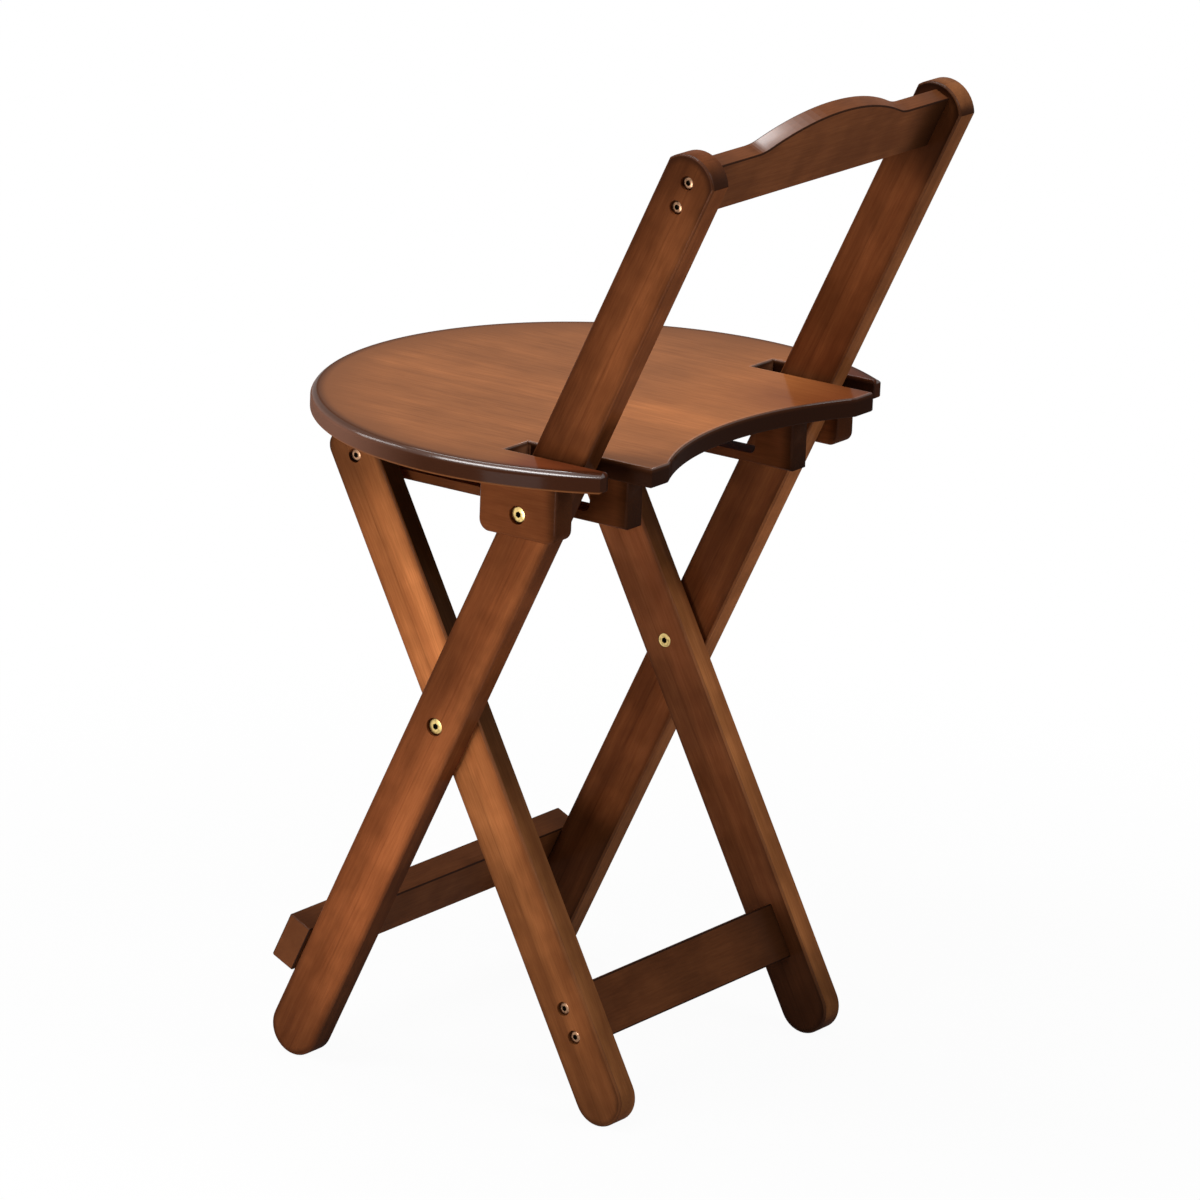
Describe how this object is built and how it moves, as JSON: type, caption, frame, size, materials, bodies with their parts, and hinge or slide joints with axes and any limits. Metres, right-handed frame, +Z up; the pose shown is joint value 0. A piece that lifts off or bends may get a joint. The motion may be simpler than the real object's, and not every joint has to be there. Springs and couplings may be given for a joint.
{
  "type": "folding stool",
  "caption": "Folding wooden stool with a round slotted seat, crossed legs, a footrest bar and a low open back with a humped crest rail.",
  "frame": {"origin": "on the floor, under the middle of the open stool's bounding box", "axes": "+X towards the sitter's left, +Y towards the sitter's back, +Z up; the sitter faces -Y"},
  "size_m": [0.41, 0.394, 0.7114],
  "materials": {
    "frame_wood": "walnut brown stain under satin lacquer",
    "seat_wood": "walnut brown stain, darker at the rim, under satin lacquer",
    "brass": "bright",
    "steel": "zinc plated"
  },
  "bodies": {
    "back_frame": {"left_long_board": "frame_wood", "right_long_board": "frame_wood", "crest_rail": "frame_wood", "footrest_bar": "frame_wood", "crest_screws": "brass", "footrest_screws": "steel", "left_seat_pivot_bolt": "brass", "right_seat_pivot_bolt": "brass", "left_seat_pivot_nut": "steel", "right_seat_pivot_nut": "steel", "left_seat_pivot_washer": "steel", "right_seat_pivot_washer": "steel", "left_cross_bolt": "brass", "right_cross_bolt": "brass", "left_cross_nut": "steel", "right_cross_nut": "steel", "left_cross_washer": "steel", "right_cross_washer": "steel"},
    "leg_frame": {"left_short_leg": "frame_wood", "right_short_leg": "frame_wood", "rear_stretcher": "frame_wood", "stretcher_screws": "brass", "left_slide_bolt": "steel", "right_slide_bolt": "steel", "left_slide_bush": "steel", "right_slide_bush": "steel", "left_slide_nut": "steel", "right_slide_nut": "steel"},
    "seat": {"seat_board": "seat_wood", "left_outer_bracket": "frame_wood", "right_outer_bracket": "frame_wood", "left_slide_rail": "frame_wood", "right_slide_rail": "frame_wood", "bracket_screws": "steel", "rail_screws": "steel"}
  },
  "joints": [
    {"name": "leg_fold", "type": "hinge", "parent": "back_frame", "child": "leg_frame", "pos_m": [0, -0.01517, 0.2655], "axis": [-1, 0, 0], "range_deg": [0, 45]},
    {"name": "seat_fold", "type": "hinge", "parent": "back_frame", "child": "seat", "pos_m": [0, 0.06348, 0.4365], "axis": [-1, 0, 0], "range_deg": [0, 31.5]}
  ],
  "couplings": [
    {"joint": "seat_fold", "follows": "leg_fold", "ratio": 0.7}
  ]
}
